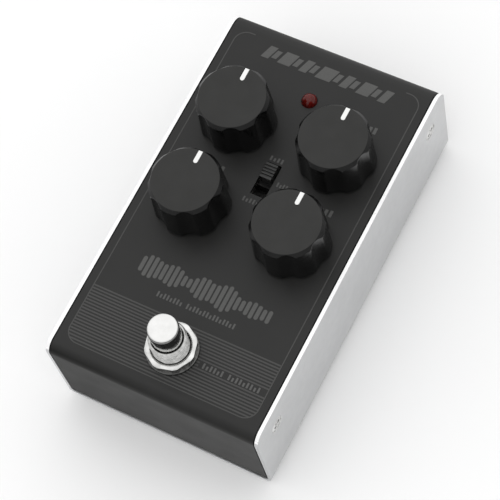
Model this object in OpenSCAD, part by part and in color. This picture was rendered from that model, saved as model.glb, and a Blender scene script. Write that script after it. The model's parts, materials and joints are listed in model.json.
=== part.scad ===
// Compact guitar effects pedal: a bent-sheet enclosure with four fluted knobs, an indicator lamp,
// a three-way slide switch, a foot-operated switch, two audio sockets and a power inlet.
// The origin is the middle of the whole part's width and depth, at the height of the surface that the
// rubber feet stand on. +Z is up, +Y points to the sockets on the rear wall and +X to the right of a
// player who stands in front of the pedal. Sizes along Y are given from the middle of the box, which
// placed() then moves forward of the origin, because the sockets reach out at the back.

/* [Enclosure] */
// Overall width across the side plates
box_w = 72.3; // [70:0.1:76]
// Depth of the cover from front wall to rear wall
box_d = 126.4; // [122:0.2:132]
// Height of the top panel above the underside of the tray
box_h = 36.2; // [36:0.1:40]
// Thickness of the tray's sheet
tray_t = 1.1; // [1:0.1:1.4]
// Thickness of the cover's sheet
cover_t = 1.2; // [1:0.1:1.4]
// Outside radius of the cover's front bend
bend_r = 4; // [3:0.5:6]
// Outside radius of the cover's rear bend
rear_bend_r = 5.3; // [3:0.1:6]
// Outside radius of the tray's two bends
tray_bend_r = 1.8; // [1.5:0.1:2.5]
// Gap between the cover and each side plate
seam = 0.4; // [0.2:0.05:0.5]
// How far the tray's floor stands proud of the walls
tray_lip = 0.3; // [0.2:0.1:0.5]
// Height of the cover's lower edge above the underside of the tray
cover_lift = 1.6; // [1.4:0.1:2]

/* [Feet and screws] */
// Height of a rubber foot
foot_h = 2.4; // [2:0.2:4]
// Diameter of a rubber foot
foot_d = 11; // [9:0.5:13]
// Distance of the side screws in front of and behind the middle
screw_y = 52.5; // [51:0.5:54]
// Depth of the side screws below the top panel
screw_drop = 10.6; // [9:0.2:13]
// Diameter of a side screw's shank
screw_d = 3; // [3:0.5:3.5]

/* [Knobs] */
// Distance between the two columns of knobs
knob_pitch_x = 34.4; // [34:0.2:36]
// Distance between the two rows of knobs
knob_pitch_y = 30.6; // [30:0.2:32]
// Distance of the middle of the knobs behind the middle of the box
knob_mid_y = 13; // [12:0.5:14]
// Height of a knob's top above the panel
knob_top = 15.4; // [15:0.1:18]
// Gap between a knob and the panel
knob_gap = 0.7; // [0.5:0.1:1]
// Radius of a knob at its base
knob_base_r = 12.15; // [11.8:0.05:12.5]
// Radius of a knob's flat top
knob_disc_r = 10.6; // [10.2:0.1:10.8]
// Number of flutes
flutes = 7; // [6:1:8]
// Width of the white pointer
pointer_w = 1.4; // [1:0.1:2]
// Length of the white pointer
pointer_l = 4.3; // [3:0.1:6]

/* [Lamp and slide switch] */
// Distance of the lamp behind the middle
lamp_y = 43; // [42:0.5:44]
// Diameter of the lamp's lens
lamp_d = 5; // [5:0.1:5.2]
// Distance of the slide switch's slot behind the middle
slot_y = 13.3; // [13:0.1:13.6]
// Length of the slot
slot_l = 11.8; // [11.6:0.1:12.4]
// Width of the slot
slot_w = 5.1; // [5:0.1:5.4]
// Travel of the slide switch over its three places
slide_travel = 4.8; // [4:0.2:5]

/* [Footswitch] */
// Distance of the footswitch in front of the middle
foot_switch_y = 47.6; // [47:0.1:48]
// Diameter of the footswitch's threaded bushing
bushing_d = 11.8; // [11.6:0.1:12]
// Height of the bushing's top above the panel
bushing_top = 9.4; // [9:0.1:10]
// Height of the button's top above the panel
button_top = 17.3; // [17:0.1:18]
// Diameter of the button's cap
button_d = 9.6; // [9.4:0.1:10.4]
// Diameter of the plunger under the cap
plunger_d = 9.4; // [9:0.1:9.4]
// Travel of the button
button_travel = 3; // [2:0.5:3]

/* [Sockets] */
// Distance of each audio socket from the middle
jack_x = 20; // [19:0.5:21]
// Height of the sockets' axis above the underside of the tray
jack_z = 16.6; // [16.4:0.1:17]
// Bore of an audio socket, for a 6.35 mm plug
jack_bore_d = 6.5; // [6.4:0.05:6.6]
// Bore of the power inlet, for a 5.5 mm plug
power_bore_d = 6.2; // [5.8:0.1:6.4]

/* [Hidden] */
$fn = 64;

// Heights, measured from the resting plane
tray_z = foot_h;
floor_z = tray_z + tray_t;
panel_z = tray_z + box_h;
under_z = panel_z - cover_t;
cover_z = tray_z + cover_lift;
cover_w = box_w - 2 * tray_t - 2 * seam;
wall_y = box_d / 2 - cover_t;
side_in_x = cover_w / 2 - cover_t;
knob_x = knob_pitch_x / 2;
knob_rear_y = knob_mid_y + knob_pitch_y / 2;
knob_front_y = knob_mid_y - knob_pitch_y / 2;
board_t = 1.6;
// Longer than any wall, for tools that cut right through
through = 60;

// Folded ears at the corners of the cover, which take the side screws
ear_l = 14;
ear_h = 24;
ear_z = panel_z - bend_r - 1.4 - ear_h;
screw_z = panel_z - screw_drop;
screw_l = 8;
screw_head_r = 2.8;
screw_hole_r = screw_d / 2 + 0.1;
clinch_r = 3;
clinch_t = 1.5;
foot_x = 25;
foot_y = 52;
recess_w = 0.8;
recess_l = 3.2;
recess_depth = 0.9;

// Knob
knob_crown_r = 11.5;
knob_crown_z = knob_top - 1.2;
knob_edge = 0.15;
flute_r = 7;
flute_base_r = 11.15;
flute_top_r = 10.68;
flute_tilt = atan((flute_base_r - flute_top_r) / (knob_top - knob_gap));
hollow_r = 7;
hollow_z = 6.6;
shaft_r = 3;
shaft_end_z = 13;
shaft_flat = 1.5;
pointer_depth = 0.8;
pointer_proud = 0.05;
glue = 0.02;

// Potentiometer, hung under the panel
running = 0.05;
pot_bushing_r = 3.5;
pot_bushing_top = 5;
can_r = 8.4;
can_wall = 0.5;
can_lid = 0.8;
can_h = 6.4;
wafer_t = 1.2;
washer_t = 0.5;
pot_nut_h = 2;
pot_nut_flats = 10;
terminal_pitch = 5;
terminal_w = 1;
terminal_t = 0.6;
pot_washer_r = 5.9;
rotor_r = 7;
rotor_t = 1.6;
rotor_drop = 4.4;
tab_w = 13;
tab_reach = 11;
main_z = under_z - 9;

// Lamp
lamp_r = lamp_d / 2;
lamp_dome_z = panel_z - 0.2;
lamp_base_z = panel_z - 6.3;
lamp_flange_r = 2.95;
lamp_flange_t = 1;
lead_pitch = 2.54;
lead_w = 0.5;
lead_hole_r = 0.55;

// Slide switch
cap_w = 4;
cap_l = 5.3;
cap_top = 1.8;
cap_y = slot_y + slide_travel / 2;
cap_ribs = 5;
cap_neck = 2;
groove_w = 0.4;
slider_w = 6.8;
slider_l = 8;
slider_t = 4;
slider_drop = 5;
shell_w = 8.8;
shell_l = 19;
shell_h = 6;
shell_t = 0.5;
shell_wafer_t = 1;
tag_pitch_x = 4;
tag_pitch_y = 4;
tag_w = 1;
tag_t = 0.5;

// Footswitch
bushing_r = bushing_d / 2;
plunger_r = plunger_d / 2;
plunger_gap = 0.25;
cap_h = 4.7;
cap_bottom = button_top - cap_h;
cap_round = 0.7;
foot_washer_t = 0.8;
foot_washer_r = 8.25;
foot_nut_h = 2.8;
foot_nut_flats = 15.3;
foot_nut_sides = 8;
foot_nut_turn = -8;
lock_nut_flats = 14.2;
lock_nut_h = 2.2;
case_w = 17.5;
case_h = 12;
case_top_z = under_z - 5;
frame_t = 1;
leg_t = 0.8;
pocket_r = 6;
pocket_floor_z = case_top_z - 8;
flange_r = 5.6;
flange_t = 1.2;
flange_gap = 0.1;
flange_z = case_top_z - flange_gap - flange_t;
stem_r = 1.9;
stem_gap = 0.4;
lug_pitch = 5;
lug_w = 2.2;
lug_t = 0.8;
lug_h = 5.4;
spring_r = 3.4;
wire_r = 0.35;
spring_turns = 4;
spring_gap = 0.1;

// Sockets
jack_axis_z = tray_z + jack_z;
jack_body_w = 16;
jack_body_h = 12;
jack_body_l = 24;
jack_bushing_r = 4.6;
jack_insert = 4;
jack_reach = 4.4;
jack_nut_flats = 12;
jack_nut_h = 2.4;
jack_washer_r = 7;
jack_washer_t = 0.8;
jack_z0 = jack_axis_z - jack_body_h / 2;
power_w = 11.6;
power_l = 14;
power_nose_r = 5.4;
power_nose_l = 0.3;
power_depth = 10;
power_pin_r = 1;
contact_pitch = 5;
contact_w = 2;
contact_t = 0.4;
contact_l = 14;
power_tag_x = 3.5;
power_tag_w = 2.4;
power_tag_t = 0.5;
power_tag_h = 8;

// Boards, wiring and components
switch_board_z = case_top_z - case_h - lug_h - board_t;
switch_board_w = 22;
switch_board_l = 23;
main_front_y = -16;
main_rear_y = 46;
main_w = 65;
jack_board_w = 60;
jack_board_l = 25;
ribbon_w = 12;
ribbon_t = 0.9;
board_under_z = main_z - board_t;

// The middle of the whole depth, from the tray's front lip to the mouths of the sockets
mid_y = (wall_y + cover_t + jack_reach - box_d / 2 - tray_lip) / 2;

cover_black = [0.16, 0.16, 0.155];
knob_black = [0.06, 0.06, 0.06];
bright_steel = [0.78, 0.78, 0.8];
tray_silver = [0.75, 0.76, 0.77];
board_green = [0.1, 0.32, 0.18];
tinned = [0.72, 0.72, 0.7];

// ---- shared shapes ----

// Puts a child drawn in the Y-Z plane on edge and gives it a width along X
module along_x(width) {
    rotate([90, 0, 90]) linear_extrude(width, center = true) children();
}

// Puts a child drawn in the X-Z plane on edge and gives it a length along Y
module along_y(length) {
    rotate([90, 0, 0]) linear_extrude(length, center = true) children();
}

// A cylinder along Y that starts at its child position and runs towards +Y
module rod_y(r, length) {
    rotate([-90, 0, 0]) cylinder(r = r, h = length);
}

// A flat outline whose two upper corners are round, one half after the other
module arch_outline(width, z0, z1, r_left, r_right) {
    for (half = [0, 1]) mirror([1 - half, 0]) {
        r = half == 1 ? r_right : r_left;
        reach = width / 2;
        translate([0, z0]) square([reach, z1 - z0 - r]);
        translate([0, z0]) square([reach - r, z1 - z0]);
        translate([reach - r, z1 - r]) circle(r);
    }
}

// A nut along Z with its outer corners turned off, flat side down, and one corner towards +X
module flat_sided_nut(sides, flats, height, bore_r, chamfer) {
    corner = flats / 2 / cos(180 / sides);
    difference() {
        intersection() {
            cylinder(r = corner, h = height, $fn = sides);
            rotate_extrude() polygon([[0, 0], [corner, 0], [corner, height - chamfer],
                [corner - 1.7 * chamfer, height], [0, height]]);
        }
        translate([0, 0, -1]) cylinder(r = bore_r, h = height + 2);
    }
}

module hex_nut(flats, height, bore_r, chamfer) {
    flat_sided_nut(6, flats, height, bore_r, chamfer);
}

module ring(outer_r, inner_r, height) {
    difference() {
        cylinder(r = outer_r, h = height);
        translate([0, 0, -1]) cylinder(r = inner_r, h = height + 2);
    }
}

// Moves a finished sub-part from the box's own middle to its place about the origin
module placed() {
    translate([0, -mid_y, 0]) children();
}

module at_pots() {
    for (x = [-knob_x, knob_x], y = [knob_front_y, knob_rear_y]) translate([x, y, 0]) children();
}

module at_side_screws() {
    for (side = [-1, 1], y = [-screw_y, screw_y])
        translate([side * box_w / 2, y, screw_z]) rotate([0, side * -90, 0]) children();
}

// ---- enclosure ----

module base_tray() {
    inner_r = tray_bend_r - tray_t;
    color(tray_silver) difference() {
        intersection() {
            along_y(box_d + 2 * tray_lip) difference() {
                translate([0, panel_z + tray_z]) mirror([0, 1])
                    arch_outline(box_w, tray_z - 1, panel_z, tray_bend_r, tray_bend_r);
                translate([0, panel_z + floor_z]) mirror([0, 1])
                    arch_outline(box_w - 2 * tray_t, tray_z - 2, panel_z, inner_r, inner_r);
            }
            along_x(box_w + 2) {
                arch_outline(box_d, tray_z - 1, panel_z, bend_r, rear_bend_r);
                translate([-box_d / 2 - tray_lip, tray_z - 1]) square([box_d + 2 * tray_lip, tray_t + 1]);
            }
        }
        at_side_screws() {
            translate([0, 0, -1]) cylinder(r = screw_hole_r, h = 4);
            translate([0, 0, -0.01]) cylinder(r1 = screw_head_r + 0.1, r2 = screw_hole_r, h = tray_t);
        }
    }
}

module cover_shell() {
    along_x(cover_w) difference() {
        arch_outline(box_d, cover_z, panel_z, bend_r, rear_bend_r);
        arch_outline(box_d - 2 * cover_t, cover_z - 1, under_z, bend_r - cover_t, rear_bend_r - cover_t);
    }
}

module cover_ears() {
    for (side = [-1, 1], end = [-1, 1])
        translate([side * (cover_w / 2 - cover_t / 2), end * (wall_y - ear_l / 2 + 0.05), ear_z + ear_h / 2])
            cube([cover_t, ear_l + 0.1, ear_h], center = true);
}

module top_cover() {
    color(cover_black) difference() {
        union() {
            cover_shell();
            cover_ears();
        }
        at_pots() translate([0, 0, under_z - 1]) cylinder(r = pot_bushing_r + 0.1, h = cover_t + 2);
        translate([0, lamp_y, under_z - 1]) cylinder(r = lamp_r + 0.1, h = cover_t + 2);
        translate([-slot_w / 2, slot_y - slot_l / 2, under_z - 1]) cube([slot_w, slot_l, cover_t + 2]);
        translate([0, -foot_switch_y, under_z - 1]) cylinder(r = bushing_r + 0.15, h = cover_t + 2);
        for (x = [-jack_x, jack_x])
            translate([x, wall_y - 1, jack_axis_z]) rod_y(jack_bushing_r + 0.1, cover_t + 2);
        translate([0, wall_y - 1, jack_axis_z]) rod_y(power_nose_r + 0.2, cover_t + 2);
        at_side_screws() translate([0, 0, tray_t - 0.5]) cylinder(r = screw_hole_r, h = 4);
    }
}

module side_screws() {
    color(bright_steel) at_side_screws() difference() {
        union() {
            translate([0, 0, 0.05]) cylinder(r1 = screw_head_r, r2 = screw_d / 2, h = tray_t - 0.05);
            cylinder(r = screw_d / 2, h = screw_l);
        }
        for (turn = [0, 90]) rotate([0, 0, turn])
            cube([recess_l, recess_w, 2 * recess_depth], center = true);
    }
}

module clinch_nuts() {
    color(bright_steel) at_side_screws()
        translate([0, 0, box_w / 2 - side_in_x]) ring(clinch_r, screw_d / 2 + 0.02, clinch_t);
}

module rubber_feet() {
    color([0.1, 0.1, 0.1]) for (x = [-foot_x, foot_x], y = [-foot_y, foot_y])
        translate([x, y, 0]) rotate_extrude() polygon([[0, 0], [foot_d / 2 - 0.8, 0],
            [foot_d / 2 - 0.3, 0.4], [foot_d / 2, foot_h], [0, foot_h]]);
}

// ---- knobs, pointers and shafts ----

module knob_blank() {
    rotate_extrude() polygon([
        [hollow_r, knob_gap], [knob_base_r, knob_gap], [knob_crown_r, knob_crown_z],
        [knob_disc_r, knob_top - knob_edge], [knob_disc_r - knob_edge, knob_top], [0, knob_top],
        [0, shaft_end_z + glue], [shaft_r + glue, shaft_end_z + glue], [shaft_r + glue, hollow_z],
        [hollow_r, hollow_z]]);
}

// Pointer seen from above: square at the rim, round at the inner end
module pointer_outline(grow) {
    inner_y = knob_disc_r - knob_edge - pointer_l + pointer_w / 2;
    translate([-pointer_w / 2 - grow, inner_y]) square([pointer_w + 2 * grow, knob_disc_r - inner_y + 1]);
    translate([0, inner_y]) circle(pointer_w / 2 + grow);
}

module knob(x, y) {
    color(knob_black) translate([x, y, panel_z]) difference() {
        knob_blank();
        for (i = [0 : flutes - 1]) rotate([0, 0, 90 + (i + 0.5) * 360 / flutes])
            translate([flute_base_r + flute_r, 0, knob_gap]) rotate([0, -flute_tilt, 0])
                cylinder(r = flute_r, h = through, center = true);
        translate([0, 0, knob_top - pointer_depth]) linear_extrude(2) pointer_outline(glue);
    }
}

module pointer(x, y) {
    color([0.95, 0.95, 0.94]) translate([x, y, panel_z]) intersection() {
        translate([0, 0, knob_top - pointer_depth + glue])
            linear_extrude(pointer_depth + pointer_proud - glue) pointer_outline(0);
        cylinder(r = knob_disc_r - knob_edge, h = knob_top + 1);
    }
}

module shaft(x, y) {
    color([0.8, 0.78, 0.7]) translate([x, y, 0]) difference() {
        union() {
            translate([0, 0, under_z - rotor_drop - 1])
                cylinder(r = shaft_r, h = panel_z + shaft_end_z - under_z + rotor_drop + 1);
            translate([0, 0, under_z - rotor_drop]) cylinder(r = rotor_r, h = rotor_t);
        }
        translate([-shaft_r, shaft_flat - 2 * shaft_r, panel_z + hollow_z])
            cube([2 * shaft_r, shaft_r, through]);
    }
}

module pot_bushings() {
    color([0.75, 0.68, 0.5]) at_pots() translate([0, 0, under_z - can_lid])
        ring(pot_bushing_r, shaft_r + running, panel_z + pot_bushing_top - under_z + can_lid);
}

module pot_nuts() {
    color(bright_steel) at_pots() translate([0, 0, panel_z + washer_t])
        hex_nut(pot_nut_flats, pot_nut_h, pot_bushing_r + glue, 0.3);
}

module pot_washers() {
    color(bright_steel) at_pots() translate([0, 0, panel_z])
        ring(pot_washer_r, pot_bushing_r + glue, washer_t);
}

module pot_cans() {
    color(tinned) at_pots() translate([0, 0, under_z - can_h]) difference() {
        cylinder(r = can_r, h = can_h);
        translate([0, 0, -1]) cylinder(r = can_r - can_wall, h = can_h - can_lid + 1);
        cylinder(r = pot_bushing_r + glue, h = can_h + 1);
    }
}

module pot_wafers() {
    color([0.42, 0.24, 0.12]) at_pots() translate([0, 0, under_z - can_h - wafer_t]) union() {
        cylinder(r = can_r, h = wafer_t);
        translate([-tab_w / 2, -tab_reach, 0]) cube([tab_w, tab_reach, wafer_t]);
    }
}

module pot_terminals() {
    color(tinned) at_pots() for (i = [-1 : 1])
        translate([i * terminal_pitch - terminal_w / 2, 0.8 - tab_reach, main_z])
            cube([terminal_w, terminal_t, under_z - can_h - wafer_t - main_z]);
}

// ---- indicator lamp ----

module lamp_lens() {
    color([0.45, 0.05, 0.04]) translate([0, lamp_y, 0]) {
        translate([0, 0, lamp_base_z]) cylinder(r = lamp_r, h = lamp_dome_z - lamp_base_z);
        translate([0, 0, lamp_base_z]) cylinder(r = lamp_flange_r, h = lamp_flange_t);
        intersection() {
            translate([0, 0, lamp_dome_z]) sphere(r = lamp_r);
            translate([0, 0, lamp_dome_z - 1]) cylinder(r = lamp_r, h = lamp_r + 2);
        }
    }
}

module lamp_leads() {
    color(tinned) for (side = [-1, 1])
        translate([side * lead_pitch / 2 - lead_w / 2, lamp_y - lead_w / 2, main_z])
            cube([lead_w, lead_w, lamp_base_z - main_z]);
}

module lamp_spacer() {
    color([0.12, 0.12, 0.12]) translate([0, lamp_y, main_z]) difference() {
        cylinder(r = lamp_flange_r, h = lamp_base_z - main_z);
        for (side = [-1, 1]) translate([side * lead_pitch / 2, 0, -1]) cylinder(r = lead_hole_r, h = through);
    }
}

// ---- slide switch ----

module slide_cap() {
    rib_pitch = cap_l / cap_ribs;
    color(knob_black) translate([0, cap_y, 0]) difference() {
        union() {
            translate([-cap_w / 2, -cap_l / 2, under_z - cap_neck])
                cube([cap_w, cap_l, cap_top + cover_t + cap_neck]);
            translate([-slider_w / 2, -slider_l / 2, under_z - slider_drop])
                cube([slider_w, slider_l, slider_t]);
        }
        for (i = [1 : cap_ribs - 1]) translate([0, i * rib_pitch - cap_l / 2, panel_z + cap_top])
            cube([2 * cap_w, groove_w, 2 * groove_w], center = true);
    }
}

module slide_shell() {
    color(tinned) translate([0, slot_y, under_z - shell_h]) difference() {
        translate([-shell_w / 2, -shell_l / 2, 0]) cube([shell_w, shell_l, shell_h]);
        translate([shell_t - shell_w / 2, shell_t - shell_l / 2, -1])
            cube([shell_w - 2 * shell_t, shell_l - 2 * shell_t, shell_h - shell_t + 1]);
        translate([-slot_w / 2, -slot_l / 2, 0]) cube([slot_w, slot_l, shell_h + 1]);
    }
}

module slide_wafer() {
    color([0.1, 0.1, 0.1])
        translate([-shell_w / 2, slot_y - shell_l / 2, under_z - shell_h - shell_wafer_t])
            cube([shell_w, shell_l, shell_wafer_t]);
}

module slide_terminals() {
    color(tinned) for (side = [-1, 1], i = [-1.5 : 1.5])
        translate([(side * tag_pitch_x - tag_t) / 2, slot_y + i * tag_pitch_y - tag_w / 2, main_z])
            cube([tag_t, tag_w, under_z - shell_h - shell_wafer_t - main_z]);
}

// ---- footswitch ----

module foot_button() {
    color(bright_steel) translate([0, -foot_switch_y, 0]) {
        translate([0, 0, panel_z + cap_bottom]) {
            cylinder(r = button_d / 2, h = cap_h - cap_round);
            cylinder(r = button_d / 2 - cap_round, h = cap_h);
            translate([0, 0, cap_h - cap_round]) rotate_extrude()
                translate([button_d / 2 - cap_round, 0]) intersection() {
                    circle(cap_round);
                    square(cap_round);
                }
        }
        translate([0, 0, flange_z + 0.3])
            cylinder(r = plunger_r, h = panel_z + cap_bottom + 0.5 - flange_z - 0.3);
        translate([0, 0, flange_z]) cylinder(r = flange_r, h = flange_t);
        translate([0, 0, pocket_floor_z + button_travel + stem_gap])
            cylinder(r = stem_r, h = flange_z - pocket_floor_z - button_travel);
    }
}

module foot_bushing() {
    color(bright_steel) translate([0, -foot_switch_y, case_top_z]) difference() {
        rotate_extrude() polygon([[0, 0], [bushing_r, 0],
            [bushing_r, panel_z + bushing_top - case_top_z - 0.5],
            [bushing_r - 0.5, panel_z + bushing_top - case_top_z], [0, panel_z + bushing_top - case_top_z]]);
        translate([0, 0, -1]) cylinder(r = plunger_r + plunger_gap, h = through);
    }
}

module foot_nut() {
    color(bright_steel) translate([0, -foot_switch_y, panel_z + foot_washer_t]) rotate([0, 0, foot_nut_turn])
        flat_sided_nut(foot_nut_sides, foot_nut_flats, foot_nut_h, bushing_r + glue, 0.45);
}

module foot_washer() {
    color(bright_steel) translate([0, -foot_switch_y, panel_z])
        ring(foot_washer_r, bushing_r + glue, foot_washer_t);
}

module foot_lock_nut() {
    color(bright_steel) translate([0, -foot_switch_y, under_z - lock_nut_h])
        hex_nut(lock_nut_flats, lock_nut_h, bushing_r + glue, 0.3);
}

module foot_frame() {
    color(tinned) translate([0, -foot_switch_y, case_top_z]) {
        difference() {
            translate([-case_w / 2, -case_w / 2, 0]) cube([case_w, case_w, frame_t]);
            translate([0, 0, -1]) cylinder(r = bushing_r + glue, h = frame_t + 2);
        }
        for (side = [-1, 1]) translate([side * (case_w - leg_t) / 2, 0, -case_h / 2 + frame_t / 2])
            cube([leg_t, case_w, case_h - frame_t], center = true);
    }
}

module foot_case() {
    body_w = case_w - 2 * leg_t;
    color([0.1, 0.2, 0.5]) translate([0, -foot_switch_y, case_top_z - case_h]) difference() {
        translate([-body_w / 2, -case_w / 2, 0]) cube([body_w, case_w, case_h]);
        translate([0, 0, pocket_floor_z - case_top_z + case_h]) cylinder(r = pocket_r, h = case_h);
    }
}

module foot_lugs() {
    color(tinned) for (i = [-1 : 1], j = [-1 : 1])
        translate([i * lug_pitch, j * lug_pitch - foot_switch_y, case_top_z - case_h - lug_h / 2])
            cube([lug_w, lug_t, lug_h], center = true);
}

// Round wire along a helix, one closed skin
module foot_spring() {
    steps = 20;
    sides = 8;
    rise = flange_z - pocket_floor_z - 2 * wire_r - 2 * spring_gap;
    count = spring_turns * steps;
    points = [for (i = [0 : count], j = [0 : sides - 1]) let (
        turn = i * 360 / steps,
        around = j * 360 / sides,
        r = spring_r + wire_r * cos(around))
        [r * cos(turn), r * sin(turn), i * rise / count + wire_r * sin(around)]];
    skin = [for (i = [0 : count - 1], j = [0 : sides - 1]) let (k = (j + 1) % sides)
        [i * sides + j, i * sides + k, (i + 1) * sides + k, (i + 1) * sides + j]];
    first_end = [for (j = [sides - 1 : -1 : 0]) j];
    last_end = [for (j = [0 : sides - 1]) count * sides + j];
    color(bright_steel) translate([0, -foot_switch_y, pocket_floor_z + wire_r + spring_gap])
        polyhedron(points = points, faces = concat(skin, [first_end, last_end]), convexity = 8);
}

// ---- boards, wiring and components ----

module switch_board() {
    color(board_green) translate([-switch_board_w / 2, -foot_switch_y - 10, switch_board_z])
        cube([switch_board_w, switch_board_l, board_t]);
}

// Flat ribbon that rises from the switch board to the front edge of the main board
module switch_ribbon() {
    y0 = -foot_switch_y + 11;
    y1 = main_front_y + 2;
    z0 = switch_board_z + board_t;
    z1 = board_under_z;
    steps = 16;
    // Runs level at both ends, with a soft rise between them
    path = [for (i = [0 : steps]) let (s = i / steps)
        [y0 + (y1 - y0) * s, z0 + ribbon_t + (z1 - z0 - 2 * ribbon_t) * s * s * (3 - 2 * s)]];
    lower = [for (i = [steps : -1 : 0]) [path[i][0], path[i][1] - ribbon_t]];
    color([0.75, 0.75, 0.72]) along_x(ribbon_w) polygon(concat(path, lower));
}

module main_board() {
    color(board_green) translate([-main_w / 2, main_front_y, board_under_z])
        cube([main_w, main_rear_y - main_front_y, board_t]);
}

module jack_board() {
    color(board_green) translate([-jack_board_w / 2, wall_y - jack_board_l - 1, jack_z0 - board_t])
        cube([jack_board_w, jack_board_l, board_t]);
}

module board_ribbon() {
    color([0.75, 0.75, 0.72]) translate([-ribbon_w / 2, wall_y - jack_board_l - 0.6, jack_z0])
        cube([ribbon_w, ribbon_t, board_under_z - jack_z0]);
}

module logic_chips() {
    chip_w = 6.4;
    chip_l = 9.8;
    chip_h = 3.3;
    leg_pitch = 2.54;
    leg_w = 0.5;
    lift = 0.8;
    color([0.08, 0.08, 0.08]) for (x = [-18, 0, 18]) translate([x, 8, board_under_z - chip_h - lift]) {
        translate([-chip_w / 2, -chip_l / 2, 0]) cube([chip_w, chip_l, chip_h]);
        for (side = [-1, 1], i = [-1.5 : 1.5])
            translate([side * (chip_w + leg_w - 0.1) / 2, i * leg_pitch, (chip_h + lift) / 2])
                cube([leg_w, leg_w, chip_h + lift], center = true);
    }
}

module film_capacitors() {
    size = [7.2, 2.5, 6.5];
    color([0.65, 0.1, 0.08]) for (x = [-26, -9, 9, 26], y = [-6, 20])
        translate([x, y, board_under_z - size[2] / 2]) cube(size, center = true);
}

module electrolytic_capacitors() {
    height = 7;
    color([0.1, 0.12, 0.3]) for (x = [-26, -9, 9, 26])
        translate([x, 28, board_under_z - height]) cylinder(r = 2.5, h = height);
}

module resistors() {
    body_r = 1.1;
    color([0.75, 0.62, 0.42]) for (x = [-27, -9, 9, 27], y = [0, 4, 12, 16])
        translate([x, y, board_under_z - body_r - 0.1]) rotate([0, 90, 0])
            cylinder(r = body_r, h = 6, center = true);
}

// ---- sockets on the rear wall ----

module audio_jack(x) {
    color([0.08, 0.08, 0.08]) translate([x, 0, 0]) difference() {
        translate([-jack_body_w / 2, wall_y - jack_body_l, jack_z0])
            cube([jack_body_w, jack_body_l, jack_body_h]);
        translate([0, wall_y - jack_body_l - 1, jack_axis_z]) rod_y(jack_bore_d / 2 + 0.05, jack_body_l + 2);
        translate([0, wall_y - jack_insert, jack_axis_z]) rod_y(jack_bushing_r + glue, jack_insert + 1);
    }
}

module audio_bushing(x) {
    length = jack_insert + cover_t + jack_reach;
    color(bright_steel) translate([x, wall_y - jack_insert, jack_axis_z]) rotate([-90, 0, 0]) difference() {
        rotate_extrude() polygon([[0, 0], [jack_bushing_r, 0], [jack_bushing_r, length - 0.4],
            [jack_bushing_r - 0.4, length], [0, length]]);
        translate([0, 0, -1]) cylinder(r = jack_bore_d / 2, h = length + 2);
    }
}

module jack_nuts() {
    color(bright_steel) for (x = [-jack_x, jack_x])
        translate([x, box_d / 2 + jack_washer_t, jack_axis_z]) rotate([-90, 0, 0])
            hex_nut(jack_nut_flats, jack_nut_h, jack_bushing_r + glue, 0.35);
}

module jack_washers() {
    color(bright_steel) for (x = [-jack_x, jack_x]) translate([x, box_d / 2, jack_axis_z])
        rotate([-90, 0, 0]) ring(jack_washer_r, jack_bushing_r + glue, jack_washer_t);
}

// Sprung strips on each socket, bent down to the socket board
module jack_contacts() {
    color([0.8, 0.7, 0.4]) for (x = [-jack_x, jack_x], i = [-1 : 1])
        translate([x + i * contact_pitch - contact_w / 2, wall_y - jack_body_l - contact_t, jack_z0]) {
            cube([contact_w, contact_t, jack_body_h + contact_t]);
            translate([0, 0, jack_body_h]) cube([contact_w, contact_l, contact_t]);
        }
}

module power_jack() {
    color([0.08, 0.08, 0.08]) difference() {
        union() {
            translate([-power_w / 2, wall_y - power_l, jack_z0]) cube([power_w, power_l, jack_body_h]);
            translate([0, wall_y - 1, jack_axis_z]) rod_y(power_nose_r, cover_t + power_nose_l + 1);
        }
        translate([0, box_d / 2 + power_nose_l - power_depth, jack_axis_z])
            rod_y(power_bore_d / 2, power_depth + 1);
        translate([0, wall_y - power_l - 1, jack_axis_z]) rod_y(power_pin_r + glue, power_l);
    }
}

module power_pin() {
    color(bright_steel) translate([0, wall_y - power_l, jack_axis_z]) {
        rod_y(power_pin_r, power_l - 0.2);
        translate([0, power_l - 0.2, 0]) sphere(r = power_pin_r);
    }
}

module power_contacts() {
    color(tinned) for (side = [-1, 1])
        translate([side * power_tag_x - power_tag_w / 2, wall_y - power_l - power_tag_t, jack_z0])
            cube([power_tag_w, power_tag_t, power_tag_h]);
}

placed() base_tray();
placed() top_cover();
placed() side_screws();
placed() clinch_nuts();
placed() rubber_feet();
placed() knob(-knob_x, knob_rear_y);  // knob_rear_left
placed() knob(knob_x, knob_rear_y);  // knob_rear_right
placed() knob(-knob_x, knob_front_y);  // knob_front_left
placed() knob(knob_x, knob_front_y);  // knob_front_right
placed() pointer(-knob_x, knob_rear_y);  // pointer_rear_left
placed() pointer(knob_x, knob_rear_y);  // pointer_rear_right
placed() pointer(-knob_x, knob_front_y);  // pointer_front_left
placed() pointer(knob_x, knob_front_y);  // pointer_front_right
placed() shaft(-knob_x, knob_rear_y);  // shaft_rear_left
placed() shaft(knob_x, knob_rear_y);  // shaft_rear_right
placed() shaft(-knob_x, knob_front_y);  // shaft_front_left
placed() shaft(knob_x, knob_front_y);  // shaft_front_right
placed() pot_bushings();
placed() pot_nuts();
placed() pot_washers();
placed() pot_cans();
placed() pot_wafers();
placed() pot_terminals();
placed() lamp_lens();
placed() lamp_leads();
placed() lamp_spacer();
placed() slide_cap();
placed() slide_shell();
placed() slide_wafer();
placed() slide_terminals();
placed() foot_button();
placed() foot_bushing();
placed() foot_nut();
placed() foot_washer();
placed() foot_lock_nut();
placed() foot_frame();
placed() foot_case();
placed() foot_lugs();
placed() foot_spring();
placed() switch_board();
placed() switch_ribbon();
placed() main_board();
placed() jack_board();
placed() board_ribbon();
placed() audio_jack(jack_x);  // input_jack
placed() audio_jack(-jack_x);  // output_jack
placed() audio_bushing(jack_x);  // input_bushing
placed() audio_bushing(-jack_x);  // output_bushing
placed() jack_nuts();
placed() jack_washers();
placed() jack_contacts();
placed() power_jack();
placed() power_pin();
placed() power_contacts();
placed() logic_chips();
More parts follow.
